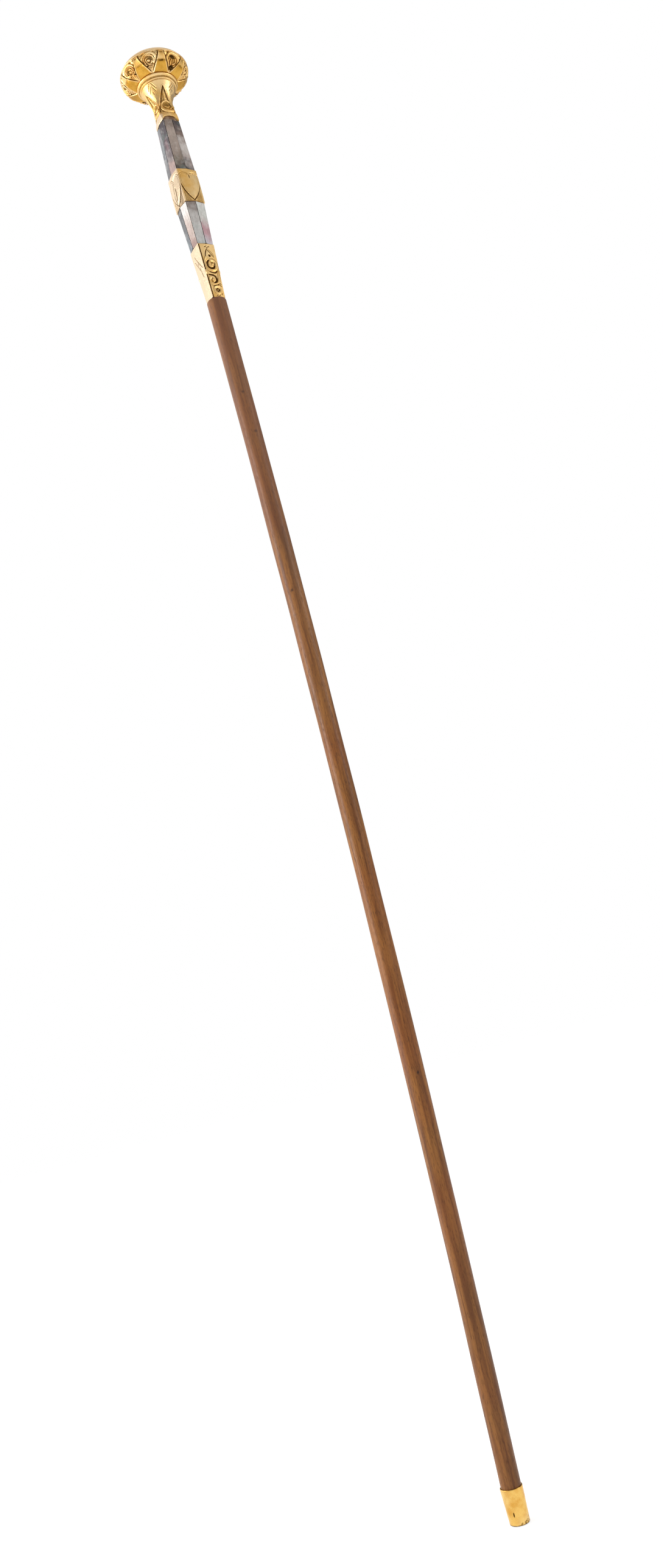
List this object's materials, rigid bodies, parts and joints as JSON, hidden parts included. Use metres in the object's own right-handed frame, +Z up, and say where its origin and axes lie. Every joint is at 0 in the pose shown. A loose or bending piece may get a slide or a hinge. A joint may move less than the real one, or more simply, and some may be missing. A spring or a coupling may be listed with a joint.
{
  "type": "walking stick",
  "caption": "Dress walking stick: slim bowed hardwood shaft, brass ferrule, and a gilt-collared mother-of-pearl grip under a round knob of petals and scrolls.",
  "frame": {"origin": "centre of the flat end of the ferrule's tip, where the stick meets the ground", "axes": "+Z runs up the stick from the tip to the middle of the knob; the square grip has its sides facing +X, -X, +Y and -Y, and -Y is the side with three volutes that the picture shows at the right"},
  "size_m": [0.0446, 0.0446, 0.8945],
  "materials": {
    "gilt": "gilded, chased and burnished, dark in the recesses",
    "mother_of_pearl": "polished shell, grey, silver and taupe; gloss_plastic stands in for shell",
    "shaft_wood": "oiled reddish-brown hardwood with fine dark pores",
    "core_wood": "dark glued hardwood core, unpolished",
    "ferrule_brass": "worn brass with dark tarnish at the toe",
    "iron": "worn dark iron",
    "steel": "plain turned steel"
  },
  "bodies": {
    "root": {"ferrule_sleeve": "ferrule_brass", "ferrule_tip": "iron", "ferrule_sprig": "iron", "shaft": "shaft_wood", "dowel_screw": "steel", "socket_collar": "gilt", "heart_band": "gilt", "neck_rim": "gilt", "neck_sleeve": "gilt", "neck_ring": "gilt", "knob_shell": "gilt", "knob_crown": "gilt", "grip_core": "core_wood", "knob_core": "core_wood", "pearl_lower_1": "mother_of_pearl", "pearl_lower_2": "mother_of_pearl", "pearl_lower_3": "mother_of_pearl", "pearl_lower_4": "mother_of_pearl", "pearl_lower_5": "mother_of_pearl", "pearl_lower_6": "mother_of_pearl", "pearl_lower_7": "mother_of_pearl", "pearl_lower_8": "mother_of_pearl", "pearl_upper_1": "mother_of_pearl", "pearl_upper_2": "mother_of_pearl", "pearl_upper_3": "mother_of_pearl", "pearl_upper_4": "mother_of_pearl", "pearl_upper_5": "mother_of_pearl", "pearl_upper_6": "mother_of_pearl", "pearl_upper_7": "mother_of_pearl", "pearl_upper_8": "mother_of_pearl"}
  },
  "joints": []
}
